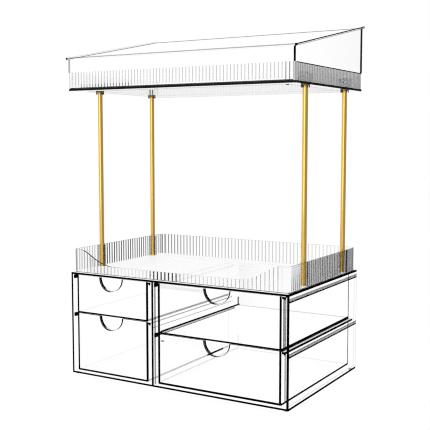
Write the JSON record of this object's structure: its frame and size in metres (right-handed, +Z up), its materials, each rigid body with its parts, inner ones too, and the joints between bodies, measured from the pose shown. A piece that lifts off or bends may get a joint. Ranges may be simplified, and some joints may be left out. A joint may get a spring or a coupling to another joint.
{
  "type": "desk organiser with drawers and display shelf",
  "caption": "Clear acrylic makeup organiser: cabinet with slide-out drawers, fluted open tray, and a fluted covered top tray carried on slender brass posts.",
  "frame": {"origin": "middle of the footprint, on the surface that the feet stand on", "axes": "+Z up, +X to the right seen from the front, the drawers' fronts face -Y"},
  "size_m": [0.3106, 0.198, 0.4327],
  "materials": {
    "sheet_acrylic": "clear, polished, flat sheet with sawn and polished edges",
    "moulded_acrylic": "clear, polished, moulded",
    "brass": "polished",
    "foot_pad": "clear soft pad"
  },
  "bodies": {
    "stand": {"back_left_foot": "foot_pad", "back_left_lower_socket": "moulded_acrylic", "back_left_post": "brass", "back_left_upper_socket": "moulded_acrylic", "back_right_foot": "foot_pad", "back_right_lower_socket": "moulded_acrylic", "back_right_post": "brass", "back_right_upper_socket": "moulded_acrylic", "cabinet_back": "sheet_acrylic", "cabinet_bottom": "sheet_acrylic", "cabinet_left_wall": "sheet_acrylic", "cabinet_right_wall": "sheet_acrylic", "cabinet_top_panel": "sheet_acrylic", "centre_divider": "sheet_acrylic", "divider_left_lower_runner": "sheet_acrylic", "divider_left_upper_runner": "sheet_acrylic", "divider_right_lower_runner": "sheet_acrylic", "divider_right_upper_runner": "sheet_acrylic", "front_left_foot": "foot_pad", "front_left_lower_socket": "moulded_acrylic", "front_left_post": "brass", "front_left_upper_socket": "moulded_acrylic", "front_right_foot": "foot_pad", "front_right_lower_socket": "moulded_acrylic", "front_right_post": "brass", "front_right_upper_socket": "moulded_acrylic", "left_wall_lower_runner": "sheet_acrylic", "left_wall_upper_runner": "sheet_acrylic", "lower_tray": "moulded_acrylic", "right_wall_lower_runner": "sheet_acrylic", "right_wall_upper_runner": "sheet_acrylic", "upper_tray": "moulded_acrylic"},
    "upper_left_drawer": {"upper_left_drawer": "moulded_acrylic"},
    "lower_left_drawer": {"lower_left_drawer": "moulded_acrylic"},
    "upper_right_drawer": {"upper_right_drawer": "moulded_acrylic"},
    "lower_right_drawer": {"lower_right_drawer": "moulded_acrylic"},
    "cover": {"cover_back_pane": "sheet_acrylic", "cover_front_pane": "sheet_acrylic", "cover_left_pane": "sheet_acrylic", "cover_right_pane": "sheet_acrylic", "cover_roof": "sheet_acrylic"}
  },
  "joints": [
    {"name": "upper_left_drawer_slide", "type": "slide", "parent": "stand", "child": "upper_left_drawer", "axis": [0, -1, 0], "range_m": [0, 0.17]},
    {"name": "lower_left_drawer_slide", "type": "slide", "parent": "stand", "child": "lower_left_drawer", "axis": [0, -1, 0], "range_m": [0, 0.17]},
    {"name": "upper_right_drawer_slide", "type": "slide", "parent": "stand", "child": "upper_right_drawer", "axis": [0, -1, 0], "range_m": [0, 0.17]},
    {"name": "lower_right_drawer_slide", "type": "slide", "parent": "stand", "child": "lower_right_drawer", "axis": [0, -1, 0], "range_m": [0, 0.17]},
    {"name": "cover_lift", "type": "slide", "parent": "stand", "child": "cover", "axis": [0, 0, 1], "range_m": [0, 0.1]}
  ]
}
